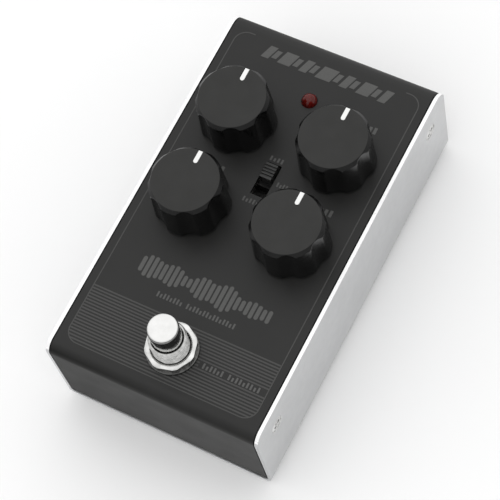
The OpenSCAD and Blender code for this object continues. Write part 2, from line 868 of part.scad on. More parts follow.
placed() film_capacitors();
placed() electrolytic_capacitors();
placed() resistors();
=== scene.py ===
"""Guitar effects pedal: detailed pieces, materials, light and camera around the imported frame."""
import json
import math

import bmesh
import bpy
from mathutils import Matrix, Vector


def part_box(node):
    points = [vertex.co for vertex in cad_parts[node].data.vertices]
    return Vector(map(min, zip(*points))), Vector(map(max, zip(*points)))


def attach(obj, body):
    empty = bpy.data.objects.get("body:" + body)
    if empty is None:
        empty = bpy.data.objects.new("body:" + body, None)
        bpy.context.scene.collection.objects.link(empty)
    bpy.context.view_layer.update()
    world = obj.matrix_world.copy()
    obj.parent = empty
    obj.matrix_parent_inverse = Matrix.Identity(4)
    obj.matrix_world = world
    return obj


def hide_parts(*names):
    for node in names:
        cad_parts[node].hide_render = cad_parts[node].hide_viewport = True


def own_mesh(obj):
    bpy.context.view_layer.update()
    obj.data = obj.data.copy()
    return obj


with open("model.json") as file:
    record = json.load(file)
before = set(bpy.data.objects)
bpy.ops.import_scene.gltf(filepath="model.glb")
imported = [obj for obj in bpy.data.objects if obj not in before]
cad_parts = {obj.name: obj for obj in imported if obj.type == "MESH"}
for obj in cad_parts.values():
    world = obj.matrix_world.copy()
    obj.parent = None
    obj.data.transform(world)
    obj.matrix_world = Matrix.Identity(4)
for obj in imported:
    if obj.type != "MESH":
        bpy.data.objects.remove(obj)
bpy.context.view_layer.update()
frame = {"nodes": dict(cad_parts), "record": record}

MM = 0.001
RECORD = frame["record"]
ROOT = "enclosure"


# ---------------------------------------------------------------- places from the frame

# Everything below is worked out in millimetres about the box's own middle, which stands a little in
# front of the frame's origin because the sockets reach out at the back. piece() adds the difference.
BOX_MIDDLE = Vector((0, (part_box("top_cover")[0].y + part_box("top_cover")[1].y) / 2, 0))


def low(node):
    return (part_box(node)[0] - BOX_MIDDLE) / MM


def high(node):
    return (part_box(node)[1] - BOX_MIDDLE) / MM


def middle(node):
    return (low(node) + high(node)) / 2


PANEL_Z = high("top_cover").z
COVER_LOW = low("top_cover")
COVER_HIGH = high("top_cover")
TRAY_LOW = low("base_tray")
TRAY_HIGH = high("base_tray")
SHEET = 1.2
TRAY_SHEET = 1.1
FRONT_BEND_R = 4.0
REAR_BEND_R = 5.3
TRAY_BEND_R = 1.8
TRAY_LIP = 0.3
UNDER_Z = PANEL_Z - SHEET
WALL_Y = COVER_HIGH.y
KNOB_NAMES = ("rear_left", "rear_right", "front_left", "front_right")


# ---------------------------------------------------------------- mesh helpers

def piece(name, mesh_data, body, material, replaced=()):
    """Makes an object of the mesh, gives it its material and lets it ride on a body."""
    mesh_data.transform(Matrix.Translation(BOX_MIDDLE))
    obj = bpy.data.objects.new(name, mesh_data)
    bpy.context.scene.collection.objects.link(obj)
    indices = [0] * len(mesh_data.polygons)
    mesh_data.polygons.foreach_get("material_index", indices)
    mesh_data.materials.clear()
    for one in material if isinstance(material, (list, tuple)) else [material]:
        mesh_data.materials.append(one)
    mesh_data.polygons.foreach_set("material_index", indices)
    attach(obj, body)
    if replaced:
        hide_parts(*replaced)
    return obj


def make_mesh(name, points, faces):
    """Points are in millimetres."""
    data = bpy.data.meshes.new(name)
    data.from_pydata([Vector(p) * MM for p in points], [], faces)
    data.validate()
    data.update()
    return data


def shade(data, sharp_angle=32.0):
    """Smooth faces with a crease wherever two faces meet at more than sharp_angle."""
    work = bmesh.new()
    work.from_mesh(data)
    bmesh.ops.recalc_face_normals(work, faces=work.faces)
    limit = math.radians(sharp_angle)
    for face in work.faces:
        face.smooth = True
    for edge in work.edges:
        edge.smooth = len(edge.link_faces) == 2 and edge.calc_face_angle(0.0) < limit
    work.to_mesh(data)
    work.free()
    data.update()
    return modified(data, ("WEIGHTED_NORMAL", {"keep_sharp": True}))


def modified(data, *modifiers):
    """The mesh with these (kind, settings) modifiers applied."""
    obj = bpy.data.objects.new("work", data)
    bpy.context.scene.collection.objects.link(obj)
    for kind, settings in modifiers:
        modifier = obj.modifiers.new(kind, kind)
        for key, value in settings.items():
            setattr(modifier, key, value)
    graph = bpy.context.evaluated_depsgraph_get()
    result = bpy.data.meshes.new_from_object(obj.evaluated_get(graph), preserve_all_data_layers=True,
                                             depsgraph=graph)
    bpy.data.objects.remove(obj)
    return result


def cut(data, cutter, operation="DIFFERENCE"):
    """Boolean of two meshes."""
    tool = bpy.data.objects.new("cutter", cutter)
    bpy.context.scene.collection.objects.link(tool)
    result = modified(data, ("BOOLEAN", {"operation": operation, "object": tool, "solver": "EXACT"}))
    bpy.data.objects.remove(tool)
    return result


def bevelled(data, width, segments=3, angle=35.0):
    """Rounds the edges sharper than angle and keeps the flats flat."""
    for polygon in data.polygons:
        polygon.use_smooth = True
    return modified(data, ("BEVEL", {
        "width": width * MM, "segments": segments, "limit_method": "ANGLE",
        "angle_limit": math.radians(angle), "use_clamp_overlap": True}), ("WEIGHTED_NORMAL", {"weight": 80}))


def prism(outline, axis, start, end):
    """A closed outline pushed along X, Y or Z from start to end, in millimetres."""
    place = {
        "X": lambda u, v, w: (w, u, v),
        "Y": lambda u, v, w: (u, w, v),
        "Z": lambda u, v, w: (u, v, w),
    }[axis]
    count = len(outline)
    points = [place(u, v, w) for w in (start, end) for u, v in outline]
    sides = [(i, (i + 1) % count, count + (i + 1) % count, count + i) for i in range(count)]
    ends = [tuple(range(count - 1, -1, -1)), tuple(range(count, 2 * count))]
    data = make_mesh("prism", points, sides + ends)
    work = bmesh.new()
    work.from_mesh(data)
    bmesh.ops.recalc_face_normals(work, faces=work.faces)
    work.to_mesh(data)
    work.free()
    return data


def block(x0, x1, y0, y1, z0, z1):
    return prism([(x0, y0), (x1, y0), (x1, y1), (x0, y1)], "Z", z0, z1)


def arc(cx, cy, r, start, end, steps=10):
    """Points on an arc, angles in degrees."""
    return [(cx + r * math.cos(math.radians(start + (end - start) * i / steps)),
             cy + r * math.sin(math.radians(start + (end - start) * i / steps))) for i in range(steps + 1)]


def rounded_box_outline(x0, x1, y0, y1, r, steps=8):
    return (arc(x1 - r, y0 + r, r, -90, 0, steps) + arc(x1 - r, y1 - r, r, 0, 90, steps)
            + arc(x0 + r, y1 - r, r, 90, 180, steps) + arc(x0 + r, y0 + r, r, 180, 270, steps))


def revolve(profile_at, count, loop=False):
    """A skin of revolution about Z. profile_at(angle) lists (radius, height) from the start to the end
    of the profile. A looped profile closes on itself, and any other starts and ends on the axis."""
    points = []
    faces = []
    angles = [2 * math.pi * i / count for i in range(count)]
    rows = [profile_at(a) for a in angles]
    size = len(rows[0])
    inner = range(size) if loop else range(1, size - 1)
    width = len(inner)
    for a, row in zip(angles, rows):
        points += [(row[j][0] * math.cos(a), row[j][0] * math.sin(a), row[j][1]) for j in inner]
    for i in range(count):
        k = (i + 1) % count
        for j in range(width if loop else width - 1):
            n = (j + 1) % width
            faces.append((i * width + j, k * width + j, k * width + n, i * width + n))
    if not loop:
        for end, j in ((0, 0), (size - 1, width - 1)):
            points.append((0, 0, rows[0][end][1]))
            tip = len(points) - 1
            faces += [(tip, i * width + j, ((i + 1) % count) * width + j) for i in range(count)]
    return make_mesh("revolved", points, faces)


def lathe(profile, count=96, loop=False):
    return revolve(lambda angle: profile, count, loop)


def cylinder(radius, start, end):
    """A round rod along Z."""
    return lathe([(0, start), (radius, start), (radius, end), (0, end)])


def mark(data, index, test):
    """Gives the faces whose middle, in millimetres, and normal pass the test the material at index."""
    for polygon in data.polygons:
        if test(polygon.center / MM, polygon.normal):
            polygon.material_index = index


def moved(data, place=(0, 0, 0), turn=None):
    """A copy of the mesh, turned about the origin and then moved, in millimetres."""
    copy = data.copy()
    copy.transform(Matrix.Translation(Vector(place) * MM) @ (turn.to_4x4() if turn else Matrix.Identity(4)))
    return copy


def joined(*meshes):
    """One mesh that holds several, each a separate shell."""
    work = bmesh.new()
    for data in meshes:
        work.from_mesh(data)
    result = bpy.data.meshes.new("joined")
    work.to_mesh(result)
    work.free()
    return result


TO_REAR = Matrix.Rotation(math.radians(-90), 3, "X")


# ---------------------------------------------------------------- materials

class Recipe:
    """A Principled material under construction, with textures placed in the object's own metres."""

    def __init__(self, name, roughness=0.5, metallic=0.0, **extra):
        self.material = bpy.data.materials.new(name)
        self.material.use_nodes = True
        self.tree = self.material.node_tree
        self.tree.nodes.clear()
        output = self.new("OutputMaterial")
        self.shader = self.new("BsdfPrincipled")
        self.link(self.shader.outputs[0], output.inputs[0])
        self.shader.inputs["Roughness"].default_value = roughness
        self.shader.inputs["Metallic"].default_value = metallic
        for key, value in extra.items():
            self.shader.inputs[key.replace("_", " ")].default_value = value
        self.place = self.new("TexCoord").outputs["Object"]
        self.height = None

    def new(self, kind):
        return self.tree.nodes.new("ShaderNode" + kind)

    def link(self, a, b):
        self.tree.links.new(a, b)

    def noise(self, size, detail=2.0, stretch=(1, 1, 1), roughness=0.5):
        """Noise whose grains are about size millimetres across."""
        mapping = self.new("Mapping")
        mapping.inputs["Scale"].default_value = stretch
        texture = self.new("TexNoise")
        texture.inputs["Scale"].default_value = 1.0 / (size * MM)
        texture.inputs["Detail"].default_value = detail
        texture.inputs["Roughness"].default_value = roughness
        self.link(self.place, mapping.inputs["Vector"])
        self.link(mapping.outputs["Vector"], texture.inputs["Vector"])
        return texture.outputs["Fac"]

    def spread(self, value, low_out, high_out, low_in=0.3, high_in=0.7):
        node = self.new("MapRange")
        limits = {"From Min": low_in, "From Max": high_in, "To Min": low_out, "To Max": high_out}
        for key, number in limits.items():
            node.inputs[key].default_value = number
        self.link(value, node.inputs["Value"])
        return node.outputs["Result"]

    def along(self, axis, first_at, second_at, first, second):
        """Runs from first to second between two places, in metres, along the object's X, Y or Z."""
        split = self.new("SeparateXYZ")
        self.link(self.place, split.inputs["Vector"])
        return self.spread(split.outputs[axis], first, second, first_at, second_at)

    def tint(self, value, first, second):
        """The base colour runs from first to second with value. The plain colour, for a reader that
        skips the texture, is the first."""
        self.shader.inputs["Base Color"].default_value = (*first, 1)
        ramp = self.new("ValToRGB")
        ramp.color_ramp.elements[0].color = (*first, 1)
        ramp.color_ramp.elements[1].color = (*second, 1)
        ramp.color_ramp.elements[0].position = 0.3
        ramp.color_ramp.elements[1].position = 0.7
        self.link(value, ramp.inputs["Fac"])
        self.link(ramp.outputs["Color"], self.shader.inputs["Base Color"])
        return self

    def uneven(self, value, first, second):
        """The roughness runs from first to second with value."""
        self.shader.inputs["Roughness"].default_value = first
        self.link(self.spread(value, first, second), self.shader.inputs["Roughness"])
        return self

    def bump(self, value, depth, strength=1.0):
        """Relief of depth millimetres. Several calls add up."""
        node = self.new("Bump")
        node.inputs["Strength"].default_value = strength
        node.inputs["Distance"].default_value = depth * MM
        self.link(value, node.inputs["Height"])
        if self.height:
            self.link(self.height, node.inputs["Normal"])
        self.height = node.outputs["Normal"]
        self.link(self.height, self.shader.inputs["Normal"])
        return self


def cover_paint():
    r = Recipe("cover_paint")
    cloud = r.noise(9, 3)
    r.tint(cloud, (0.010, 0.010, 0.0095), (0.013, 0.013, 0.0125))
    r.uneven(cloud, 0.40, 0.46)
    r.bump(r.noise(0.16, 3), 0.006, 0.5)
    r.bump(r.noise(1.1, 2), 0.008, 0.35)
    # Duller below the top panel, most of all towards the left end of the front wall. This lower specular
    # level is painted shade: a painted dark band on the front bend and a painted darker left end of the front
    # wall.
    shaded_sheen = r.along("Z", (PANEL_Z - 1.6) * MM, (PANEL_Z - 0.2) * MM, 0.2, 0.35)
    wall = r.along("X", -0.033, 0.0, 0.07, 0.16)
    r.link(wall, shaded_sheen.node.inputs["To Min"])
    r.link(shaded_sheen, r.shader.inputs["Specular IOR Level"])
    return r.material


def panel_ink():
    r = Recipe("panel_ink", 0.5)
    r.tint(r.noise(0.25, 3), (0.035, 0.035, 0.034), (0.045, 0.045, 0.043))
    r.bump(r.noise(0.1, 2), 0.004, 0.4)
    return r.material


def label_ink():
    r = Recipe("label_ink", 0.5)
    r.tint(r.noise(0.25, 3), (0.065, 0.065, 0.063), (0.078, 0.078, 0.075))
    r.bump(r.noise(0.1, 2), 0.004, 0.4)
    return r.material


def tray_metal():
    r = Recipe("tray_metal", metallic=1.0)
    r.tint(r.noise(14, 3), (0.555, 0.56, 0.565), (0.595, 0.60, 0.605))
    r.uneven(r.noise(3, 3), 0.33, 0.4)
    r.bump(r.noise(0.2, 3), 0.004, 0.5)
    return r.material


def edge_highlight():
    """The sheared top edge of the tray's sheet, brighter than its face: partly the bare metal of the cut,
    mostly a painted highlight where the edge faces up into the light.
    """
    r = Recipe("edge_highlight", metallic=0.5)
    r.tint(r.noise(4, 3), (0.93, 0.93, 0.93), (0.98, 0.98, 0.98))
    r.uneven(r.noise(0.8, 3, (1, 0.2, 1)), 0.24, 0.36)
    r.bump(r.noise(0.25, 3, (1, 0.15, 1)), 0.004, 0.4)
    return r.material


def bright_steel():
    r = Recipe("bright_steel", metallic=1.0)
    r.tint(r.noise(2.5, 3), (0.70, 0.70, 0.69), (0.76, 0.76, 0.75))
    r.uneven(r.noise(0.6, 4), 0.09, 0.18)
    r.bump(r.noise(0.35, 3, (1, 1, 4)), 0.002, 0.4)
    return r.material


def worn_steel():
    """Nickel plate that has gone patchy, for the footswitch nut."""
    r = Recipe("worn_steel", metallic=1.0)
    r.tint(r.noise(3.5, 4, (1, 1, 0.3)), (0.46, 0.46, 0.45), (0.82, 0.82, 0.81))
    r.uneven(r.noise(0.8, 3), 0.14, 0.26)
    r.bump(r.noise(1.4, 3), 0.02, 0.5)
    return r.material


def steel_painted_reflection():
    """The bright steel painted dark where it faces the dark panel: a painted reflection of the panel on the
    button cap's side and outer rim.
    """
    r = Recipe("steel_painted_reflection", metallic=1.0)
    r.tint(r.noise(2.5, 3), (0.17, 0.17, 0.167), (0.22, 0.22, 0.217))
    r.uneven(r.noise(0.6, 4), 0.08, 0.14)
    r.bump(r.noise(0.35, 3), 0.002, 0.4)
    return r.material


# Also used on the tray's countersinks, where it is painted shade.
def thread_steel():
    r = Recipe("thread_steel", metallic=1.0)
    r.tint(r.noise(1.2, 4), (0.38, 0.38, 0.37), (0.66, 0.66, 0.65))
    r.uneven(r.noise(0.4, 4), 0.14, 0.3)
    r.bump(r.noise(0.3, 3), 0.004, 0.5)
    return r.material


# The footswitch washer's dark steel, also used in the nut's bore as painted shade in the gap round the
# bushing.
def dark_washer():
    r = Recipe("dark_washer", metallic=1.0)
    r.tint(r.noise(1.5, 4), (0.06, 0.06, 0.06), (0.16, 0.16, 0.155))
    r.uneven(r.noise(0.5, 3), 0.22, 0.4)
    r.bump(r.noise(0.3, 3), 0.004, 0.5)
    return r.material


def plain_steel():
    r = Recipe("plain_steel", metallic=1.0)
    r.tint(r.noise(1.5, 3), (0.42, 0.42, 0.42), (0.56, 0.56, 0.55))
    r.uneven(r.noise(0.5, 3), 0.26, 0.4)
    r.bump(r.noise(0.3, 3, (1, 6, 1)), 0.004, 0.5)
    return r.material


def tin_plate():
    r = Recipe("tin_plate", metallic=1.0)
    r.tint(r.noise(2.0, 4), (0.4, 0.4, 0.38), (0.56, 0.56, 0.54))
    r.uneven(r.noise(0.8, 3), 0.3, 0.5)
    r.bump(r.noise(0.4, 2), 0.004, 0.5)
    return r.material


def knob_side():
    r = Recipe("knob_side")
    r.tint(r.noise(3, 2), (0.002, 0.002, 0.002), (0.004, 0.004, 0.004))
    r.uneven(r.noise(1.2, 3), 0.17, 0.24)
    r.bump(r.noise(0.5, 2), 0.003, 0.3)
    return r.material


def knob_top():
    r = Recipe("knob_top", Specular_IOR_Level=0.3)
    r.tint(r.noise(5, 3), (0.017, 0.017, 0.016), (0.021, 0.021, 0.020))
    r.uneven(r.noise(2, 3), 0.37, 0.43)
    r.bump(r.noise(0.12, 3), 0.004, 0.5)
    return r.material


# Painted shade: a darker, duller black than the knob's own plastic. On the knob chamfers it paints the dark
# reflection, and on the slide switch's foot in the slot it paints the shade.
def painted_shade_black():
    r = Recipe("painted_shade_black", Specular_IOR_Level=0.2)
    r.tint(r.noise(3, 2), (0.003, 0.003, 0.003), (0.006, 0.006, 0.006))
    r.uneven(r.noise(1.5, 3), 0.25, 0.34)
    r.bump(r.noise(0.4, 2), 0.003, 0.3)
    return r.material


def pointer_white():
    r = Recipe("pointer_white", 0.35)
    r.tint(r.noise(0.8, 2), (0.84, 0.84, 0.83), (0.9, 0.9, 0.89))
    r.bump(r.noise(0.2, 2), 0.003, 0.3)
    return r.material


def lens_red():
    r = Recipe("lens_red", Transmission_Weight=0.35, Specular_IOR_Level=0.25)
    r.tint(r.noise(1.6, 2), (0.11, 0.005, 0.003), (0.16, 0.008, 0.005))
    r.uneven(r.noise(0.7, 2), 0.1, 0.18)
    return r.material


def moulded(name, dark, light, roughness):
    r = Recipe(name)
    r.tint(r.noise(2.5, 3), dark, light)
    r.uneven(r.noise(1.2, 3), roughness - 0.05, roughness + 0.07)
    r.bump(r.noise(0.15, 3), 0.006, 0.5)
    return r.material


def rubber_black():
    r = Recipe("rubber_black", 0.75)
    r.tint(r.noise(1.2, 4), (0.022, 0.022, 0.022), (0.045, 0.045, 0.044))
    r.bump(r.noise(0.3, 4), 0.02, 0.6)
    return r.material


def board_green():
    r = Recipe("board_green", 0.3)
    r.tint(r.noise(1.0, 4, (1, 4, 1)), (0.012, 0.095, 0.035), (0.03, 0.17, 0.07))
    r.bump(r.noise(0.8, 2, (1, 3, 1)), 0.02, 0.5)
    return r.material


def ribbon_grey():
    r = Recipe("ribbon_grey", 0.5)
    r.tint(r.noise(1.27, 0, (1, 0.02, 0.02)), (0.4, 0.4, 0.39), (0.56, 0.56, 0.54))
    r.bump(r.noise(1.27, 0, (1, 0.02, 0.02)), 0.15, 0.7)
    return r.material


def wire_metal(name, dark, light):
    r = Recipe(name, metallic=1.0)
    r.tint(r.noise(1.0, 3), dark, light)
    r.uneven(r.noise(0.5, 3), 0.22, 0.36)
    r.bump(r.noise(0.2, 2), 0.002, 0.4)
    return r.material


PAINT = {
    "cover_paint": cover_paint(),
    "tray_metal": tray_metal(),
    "bright_steel": bright_steel(),
    "plain_steel": plain_steel(),
    "tin_plate": tin_plate(),
    "knob_black": knob_side(),
    "pointer_white": pointer_white(),
    "shaft_alloy": wire_metal("shaft_alloy", (0.55, 0.54, 0.5), (0.68, 0.67, 0.62)),
    "lens_red": lens_red(),
    "black_plastic": moulded("black_plastic", (0.014, 0.014, 0.014), (0.024, 0.024, 0.023), 0.42),
    "case_blue": moulded("case_blue", (0.03, 0.08, 0.26), (0.05, 0.11, 0.32), 0.4),
    "phenolic": moulded("phenolic", (0.2, 0.1, 0.045), (0.3, 0.16, 0.08), 0.5),
    "rubber_black": rubber_black(),
    "board_green": board_green(),
    "ribbon_grey": ribbon_grey(),
    "capacitor_red": moulded("capacitor_red", (0.3, 0.03, 0.02), (0.4, 0.05, 0.035), 0.25),
    "capacitor_sleeve": moulded("capacitor_sleeve", (0.03, 0.035, 0.14), (0.05, 0.06, 0.2), 0.3),
    "resistor_tan": moulded("resistor_tan", (0.45, 0.33, 0.18), (0.6, 0.46, 0.28), 0.35),
    "spring_bronze": wire_metal("spring_bronze", (0.55, 0.4, 0.18), (0.72, 0.56, 0.3)),
}
KNOB_TOP = knob_top()
PAINTED_SHADE_BLACK = painted_shade_black()
EDGE_HIGHLIGHT = edge_highlight()
THREAD_STEEL = thread_steel()
STEEL_PAINTED_REFLECTION = steel_painted_reflection()
WORN_STEEL = worn_steel()
DARK_WASHER_AND_BORE_SHADE = dark_washer()
PANEL_INK = panel_ink()
LABEL_INK = label_ink()

for part in RECORD["subparts"]:
    node = frame["nodes"][part["node"]]
    node.data.materials.clear()
    node.data.materials.append(PAINT[part["material_slot"]])


# ---------------------------------------------------------------- enclosure

CORNERS = [(side, end) for side in (-1, 1) for end in (-1, 1)]
SCREW_Z = middle("side_screws").z
SCREW_Y = high("side_screws").y - 2.6
SCREW_HOLE_R = 1.6
SINK_R = 2.9
KNOB_HOLE_R = 3.6
LAMP_HOLE_R = 2.6
FOOT_HOLE_R = 6.05
SOCKET_HOLE_R = 4.7
POWER_HOLE_R = 5.6
SLOT_HALF_W = 2.55
SLOT_HALF_L = 5.9
SLOT_CORNER_R = 0.35
EAR_L = 14.0
EAR_TOP = PANEL_Z - 5.4
EAR_BOTTOM = PANEL_Z - 29.4
THROUGH = 2
POTS = {name: middle("shaft_" + name) for name in KNOB_NAMES}
LAMP = middle("lamp_lens")
FOOT = middle("foot_bushing")


def arched(depth, z0, z1, inset=0.0):
    """Side outline of the sheet that is bent down at the front and the rear."""
    half = depth / 2
    rear, front = REAR_BEND_R - inset, FRONT_BEND_R - inset
    return ([(-half, z0), (half, z0)] + arc(half - rear, z1 - rear, rear, 0, 90)
            + arc(front - half, z1 - front, front, 90, 180))


def build_cover():
    half = COVER_HIGH.x
    depth = 2 * WALL_Y
    inner = arched(depth - 2 * SHEET, COVER_LOW.z, UNDER_Z, SHEET)
    outer = arched(depth, COVER_LOW.z, PANEL_Z)
    # One closed outline: round the outside, then back round the inside
    outline = outer[1:] + outer[:1] + inner[:1] + inner[:0:-1]
    shell = prism(outline, "X", -half, half)
    holes = []
    panel_holes = [(KNOB_HOLE_R, pot) for pot in POTS.values()] + [(LAMP_HOLE_R, LAMP), (FOOT_HOLE_R, FOOT)]
    for radius, place in panel_holes:
        holes.append(moved(cylinder(radius, UNDER_Z - THROUGH, PANEL_Z + THROUGH), (place.x, place.y, 0)))
    slot_y = middle("slide_shell").y
    slot = rounded_box_outline(-SLOT_HALF_W, SLOT_HALF_W, slot_y - SLOT_HALF_L, slot_y + SLOT_HALF_L,
                               SLOT_CORNER_R, 5)
    holes.append(prism(slot, "Z", UNDER_Z - THROUGH, PANEL_Z + THROUGH))
    wall_holes = {"input_bushing": SOCKET_HOLE_R, "output_bushing": SOCKET_HOLE_R, "power_pin": POWER_HOLE_R}
    for node, radius in wall_holes.items():
        tool = cylinder(radius, WALL_Y - SHEET - THROUGH, WALL_Y + THROUGH)
        holes.append(moved(tool, (middle(node).x, 0, middle(node).z), TO_REAR))
    shell = cut(shell, joined(*holes))
    ears = []
    for side, end in CORNERS:
        x0, x1 = sorted((side * half, side * (half - SHEET)))
        y0, y1 = sorted((end * (WALL_Y - SHEET + 0.1), end * (WALL_Y - SHEET - EAR_L)))
        ears.append(block(x0, x1, y0, y1, EAR_BOTTOM, EAR_TOP))
    shell = cut(shell, joined(*ears), "UNION")
    bore = prism(arc(0, 0, SCREW_HOLE_R, 0, 360, 24)[:-1], "X", -half - 5, half + 5)
    bores = [moved(bore, (0, end * SCREW_Y, SCREW_Z)) for end in (-1, 1)]
    shell = cut(shell, joined(*bores))
    return bevelled(shell, 0.18, 3, 40)


def build_tray():
    z0 = TRAY_LOW.z
    half = TRAY_HIGH.x
    inner_half = half - TRAY_SHEET
    r, ri = TRAY_BEND_R, TRAY_BEND_R - TRAY_SHEET
    top = PANEL_Z + 1
    outline = ([(-half, top)] + arc(r - half, z0 + r, r, 180, 270, 8) + arc(half - r, z0 + r, r, 270, 360, 8)
               + [(half, top), (inner_half, top)] + arc(inner_half - ri, z0 + TRAY_SHEET + ri, ri, 0, -90, 6)
               + arc(ri - inner_half, z0 + TRAY_SHEET + ri, ri, -90, -180, 6) + [(-inner_half, top)])
    lip = WALL_Y + TRAY_LIP
    shell = prism(outline, "Y", -lip, lip)
    floor_top = z0 + TRAY_SHEET
    plate = ([(-lip, z0 - 1), (lip, z0 - 1), (lip, floor_top), (WALL_Y, floor_top)]
             + arched(2 * WALL_Y, floor_top, PANEL_Z)[2:] + [(-WALL_Y, floor_top), (-lip, floor_top)])
    shell = cut(shell, prism(plate, "X", -half - 1, half + 1), "INTERSECT")
    sinks = []
    for side, end in CORNERS:
        cone = lathe([(0, -4), (SCREW_HOLE_R, -4), (SCREW_HOLE_R, -TRAY_SHEET), (SINK_R, 0.02),
                      (SINK_R, THROUGH), (0, THROUGH)], 64)
        turn = Matrix.Rotation(math.radians(90 * side), 3, "Y")
        sinks.append(moved(cone, (side * half, end * SCREW_Y, SCREW_Z), turn))
    shell = cut(shell, joined(*sinks))
    shell = bevelled(shell, 0.12, 2, 40)

    def top_edge_highlight_faces(place, normal):
        return abs(place.x) > inner_half - 0.05 and place.z > z0 + TRAY_BEND_R and normal.z > 0.4

    # The countersinks take the darker thread steel: painted shade in the recess round each screw head.
    def sink_shade_faces(place, normal):
        return math.hypot(abs(place.y) - SCREW_Y, place.z - SCREW_Z) < SINK_R + 0.3 and abs(normal.x) < 0.98

    # The upward-facing top edges take the edge material: partly bare cut metal, mostly a painted highlight.
    mark(shell, 1, top_edge_highlight_faces)
    mark(shell, 2, sink_shade_faces)
    return shell


piece("cover_shell", build_cover(), ROOT, PAINT["cover_paint"], ["top_cover"])
piece("tray_shell", build_tray(), ROOT, [PAINT["tray_metal"], EDGE_HIGHLIGHT, THREAD_STEEL], ["base_tray"])


# ---------------------------------------------------------------- print on the panel

BORDER_X = 32.1
BORDER_REAR = 57.4
BORDER_FRONT = -57.9
BORDER_R = 4.2
BORDER_GAP_X = 26.4
LINE = 0.34
INK = 0.03
STRIPE_PITCH = 1.0
STRIPE_W = 0.46
STRIPES = 20
LABEL_STRIPES = (9, 10)
LABEL_X0 = 9.4
SMALL_PRINT = 1.8
SLOT_PRINT = 1.6
KNOB_PRINT = 2.3
KNOB_PRINT_Y = 13.3


def slab(outline, rise=INK):
    return prism(outline, "Z", PANEL_Z - INK, PANEL_Z + rise)


def bar(x0, x1, y0, y1, r):
    r = min(r, (y1 - y0) / 2, (x1 - x0) / 2)
    return slab(rounded_box_outline(x0, x1, y0, y1, r, 4))


def ribbon(path, width):
    """A line of even width along an open path, as one flat closed outline."""
    left, right = [], []
    for i, (x, y) in enumerate(path):
        ax, ay = path[max(i - 1, 0)]
        bx, by = path[min(i + 1, len(path) - 1)]
        length = math.hypot(bx - ax, by - ay)
        nx, ny = (ay - by) / length * width / 2, (bx - ax) / length * width / 2
        left.append((x + nx, y + ny))
        right.append((x - nx, y - ny))
    points = [(x, y, z) for x, y in left + right for z in (PANEL_Z - INK, PANEL_Z + INK)]
    count = len(path)
    faces = []
    for i in range(count - 1):
        l0, l1, r0, r1 = 2 * i, 2 * i + 2, 2 * (count + i), 2 * (count + i) + 2
        faces += [(l0, l1, r1, r0), (l0 + 1, r0 + 1, r1 + 1, l1 + 1),
                  (l0, l0 + 1, l1 + 1, l1), (r0, r1, r1 + 1, r0 + 1)]
    l1, r1 = 2 * count - 2, 4 * count - 2
    faces += [(0, 2 * count, 2 * count + 1, 1), (l1, l1 + 1, r1 + 1, r1)]
    return make_mesh("ribbon", points, faces)


def border_path():
    x, r = BORDER_X, BORDER_R
    return ([(-BORDER_GAP_X, BORDER_REAR)] + arc(r - x, BORDER_REAR - r, r, 90, 180)
            + arc(r - x, BORDER_FRONT + r, r, 180, 270) + arc(x - r, BORDER_FRONT + r, r, 270, 360)
            + arc(x - r, BORDER_REAR - r, r, 0, 90) + [(BORDER_GAP_X, BORDER_REAR)])


def stripe_bars():
    """Stripes from border to border, clear of the washer and of the label's blank."""
    bars = []
    washer = high("foot_washer").x - 0.1
    for i in range(1, STRIPES):
        y = BORDER_FRONT + i * STRIPE_PITCH
        rise = y - BORDER_FRONT
        inset = BORDER_R - math.sqrt(BORDER_R ** 2 - (BORDER_R - rise) ** 2) if rise < BORDER_R else 0
        edge = BORDER_X - inset
        spans = [(-edge, edge)]
        away = abs(y - FOOT.y)
        if away < washer:
            gap = math.sqrt(washer ** 2 - away ** 2)
            spans = [(-edge, -gap), (gap, edge)]
        if i in LABEL_STRIPES:
            spans = [(a, min(b, LABEL_X0)) for a, b in spans if a < LABEL_X0]
        y0, y1 = y - STRIPE_W / 2, y + STRIPE_W / 2
        bars += [slab([(a, y0), (b, y0), (b, y1), (a, y1)], INK * 0.7) for a, b in spans]
    return bars


def strokes(x0, x1, y, height, groups):
    """Groups of upright strokes, the size of small lettering, in which every third stroke is short."""
    slots = sum(groups) + len(groups) - 1
    step = (x1 - x0) / slots
    bars = []
    x = x0 + step / 2
    for count in groups:
        for i in range(count):
            top = y + height * (0.2 if i % 3 == 1 else 0.5)
            bars.append(bar(x - step / 4, x + step / 4, y - height / 2, top, 0.1))
            x += step
        x += step
    return bars


def ramp(x0, x1, y, height, count):
    """Bars that grow from left to right, the usual sign of a control that goes up."""
    step = (x1 - x0) / count
    base = y - height / 2
    return [bar(x0 + i * step, x0 + (i + 0.6) * step, base, base + height * (i + 2) / (count + 1), 0.12)
            for i in range(count)]


def slanted_row(x0, x1, y, height, widths, gap, slant):
    """A row of leaning blocks of different widths."""
    scale = (x1 - x0 - slant - gap * (len(widths) - 1)) / sum(widths)
    bars = []
    x = x0
    for i, width in enumerate(widths):
        half = height / 2 * (0.66 if i % 2 else 1.0)
        lean = slant * half / height
        right = x + width * scale
        bars.append(slab([(x, y - half), (right, y - half),
                          (right + 2 * lean, y + half), (x + 2 * lean, y + half)]))
        x = right + gap
    return bars


def title_bars():
    """A plain wave of upright bars in the place of the large title."""
    per_side = 12
    reach, y, peak = 21.6, -26.7, 4.9
    step = reach / per_side
    half_w = 0.36 * step
    bars = []
    for i in range(2 * per_side + 1):
        beat = 0.66 + 0.34 * math.sin(i * 0.9) * math.cos(i * 0.37)
        half = peak * max(0.24, beat * (1 - 0.2 * abs(i - per_side) / per_side))
        x = i * step - reach
        bars.append(bar(x - half_w, x + half_w, y - half, y + half, half_w))
    return bars


